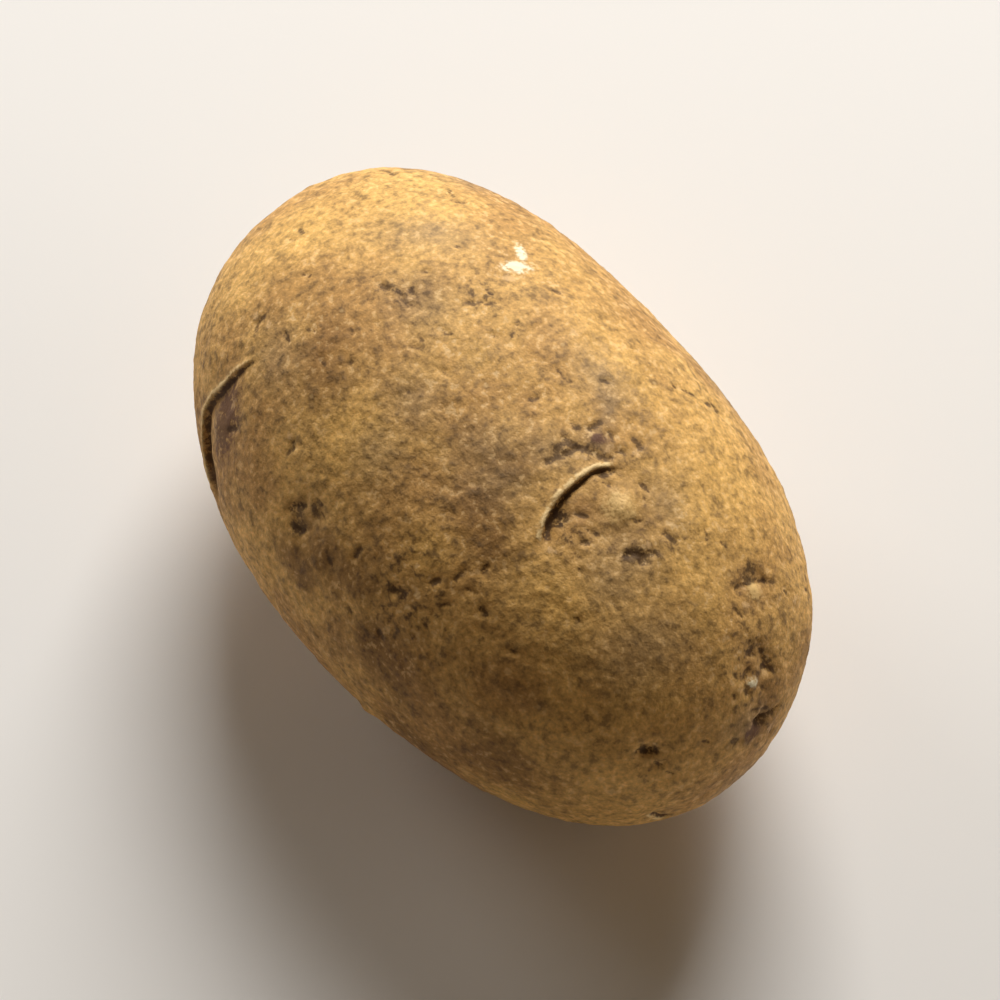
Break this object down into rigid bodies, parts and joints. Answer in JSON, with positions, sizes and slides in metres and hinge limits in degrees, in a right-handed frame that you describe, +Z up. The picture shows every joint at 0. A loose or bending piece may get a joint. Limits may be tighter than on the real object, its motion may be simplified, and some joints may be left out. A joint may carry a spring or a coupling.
{
  "type": "potato",
  "caption": "Whole unpeeled table potato, a long oval tuber with brown skin, arched eyes and a stem scar, lying on its side.",
  "frame": {"origin": "centre of the bounding box in plan, on the surface that the potato rests on", "axes": "+X along the tuber from its stem end to its rose end, +Z up from the flat spot that it rests on"},
  "size_m": [0.106, 0.0678, 0.0589],
  "materials": {
    "potato_skin": "dry matte cork with a film of soil"
  },
  "bodies": {
    "root": {"potato": "potato_skin"}
  },
  "joints": []
}
